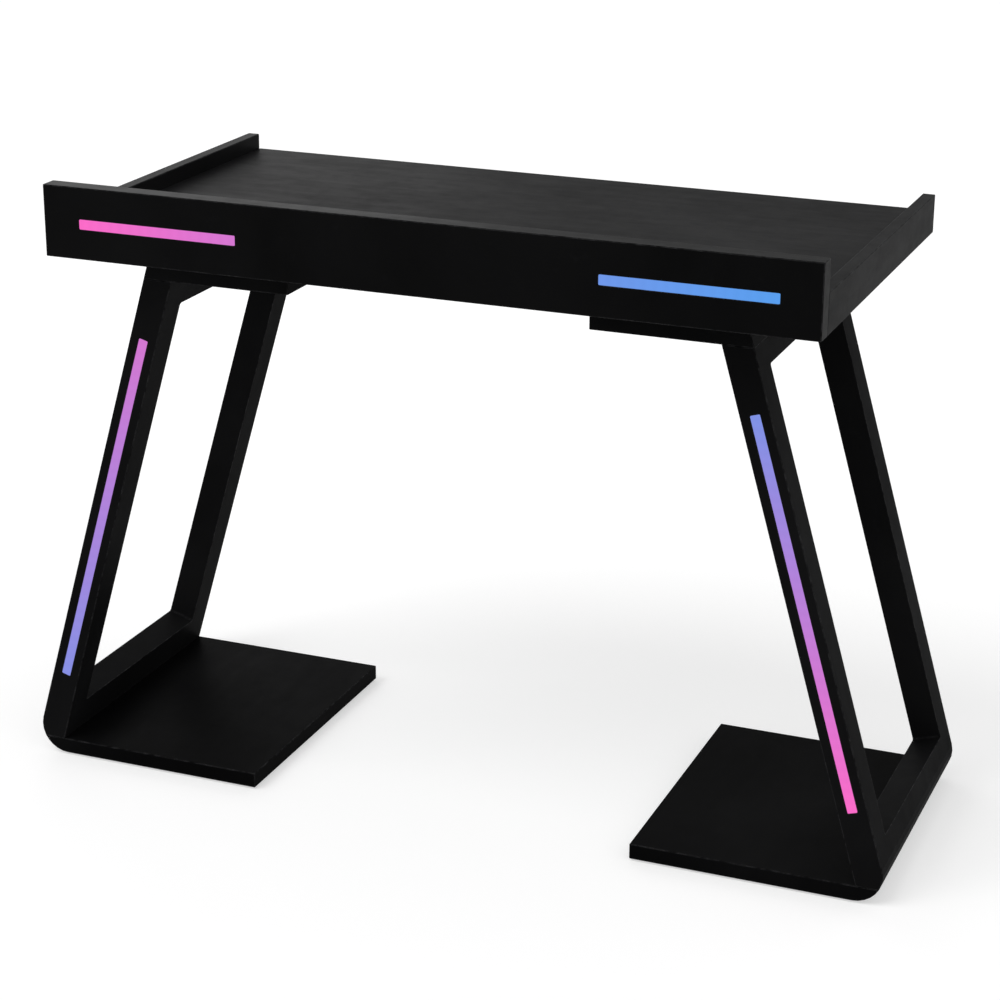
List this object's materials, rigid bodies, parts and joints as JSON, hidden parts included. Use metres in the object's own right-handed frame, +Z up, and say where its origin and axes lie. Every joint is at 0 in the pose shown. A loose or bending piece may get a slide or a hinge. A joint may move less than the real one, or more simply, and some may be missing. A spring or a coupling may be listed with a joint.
{
  "type": "dj table",
  "caption": "Standing-height table for DJ gear with a tall front board, low side rails, outward-leaning window-frame legs on flat base plates and let-in light bars",
  "frame": {"origin": "on the floor, under the middle of the table's overall box", "axes": "+X to the right seen from the audience, -Y towards the audience (the front board), +Y towards the person who plays, +Z up"},
  "size_m": [1.4208, 0.67, 0.9849],
  "materials": {
    "fascia_lacquer": "satin black lacquered board, very fine orange peel",
    "worktop_lacquer": "satin black lacquered board, light scuffs",
    "rail_lacquer": "satin black lacquered board",
    "leg_lacquer": "satin black lacquered board, very fine orange peel",
    "plate_lacquer": "satin black lacquered board, light scuffs",
    "opal_cover": "opal acrylic light cover, lit from behind",
    "led_channel": "extruded aluminium, satin",
    "led_tape": "white light tape with small chips",
    "floor_strip": "black rubber strip",
    "screw_steel": "zinc-plated steel",
    "controller_plastic": "fine-grained black moulded plastic",
    "circuit_board": "green circuit board",
    "button_rubber": "dark grey moulded rubber",
    "inlet_plastic": "black moulded socket"
  },
  "bodies": {
    "table": {"base_plate_left": "plate_lacquer", "base_plate_right": "plate_lacquer", "controller_board": "circuit_board", "controller_case": "controller_plastic", "controller_lid": "controller_plastic", "controller_screw_1": "screw_steel", "controller_screw_2": "screw_steel", "fascia_panel": "fascia_lacquer", "floor_strip_left_inner": "floor_strip", "floor_strip_left_outer": "floor_strip", "floor_strip_right_inner": "floor_strip", "floor_strip_right_outer": "floor_strip", "foot_screw_left_1": "screw_steel", "foot_screw_left_2": "screw_steel", "foot_screw_left_3": "screw_steel", "foot_screw_right_1": "screw_steel", "foot_screw_right_2": "screw_steel", "foot_screw_right_3": "screw_steel", "head_screw_left_1": "screw_steel", "head_screw_left_2": "screw_steel", "head_screw_right_1": "screw_steel", "head_screw_right_2": "screw_steel", "led_channel_fascia_left": "led_channel", "led_channel_fascia_right": "led_channel", "led_channel_leg_left": "led_channel", "led_channel_leg_right": "led_channel", "led_cover_fascia_left": "opal_cover", "led_cover_fascia_right": "opal_cover", "led_cover_leg_left": "opal_cover", "led_cover_leg_right": "opal_cover", "led_tape_fascia_left": "led_tape", "led_tape_fascia_right": "led_tape", "led_tape_leg_left": "led_tape", "led_tape_leg_right": "led_tape", "leg_frame_left": "leg_lacquer", "leg_frame_right": "leg_lacquer", "power_inlet": "inlet_plastic", "side_rail_left": "rail_lacquer", "side_rail_right": "rail_lacquer", "top_plate_left": "plate_lacquer", "top_plate_right": "plate_lacquer", "worktop": "worktop_lacquer", "worktop_screw_left_1": "screw_steel", "worktop_screw_left_2": "screw_steel", "worktop_screw_left_3": "screw_steel", "worktop_screw_left_4": "screw_steel", "worktop_screw_right_1": "screw_steel", "worktop_screw_right_2": "screw_steel", "worktop_screw_right_3": "screw_steel", "worktop_screw_right_4": "screw_steel"},
    "power_button_cap": {"power_button": "button_rubber"},
    "mode_button_cap": {"mode_button": "button_rubber"}
  },
  "joints": [
    {"name": "power_button_press", "type": "slide", "parent": "table", "child": "power_button_cap", "axis": [0, -1, 0], "range_m": [0, 0.0015], "stiffness_N_per_m": 600, "springref_m": -0.001},
    {"name": "mode_button_press", "type": "slide", "parent": "table", "child": "mode_button_cap", "axis": [0, -1, 0], "range_m": [0, 0.0015], "stiffness_N_per_m": 600, "springref_m": -0.001}
  ]
}
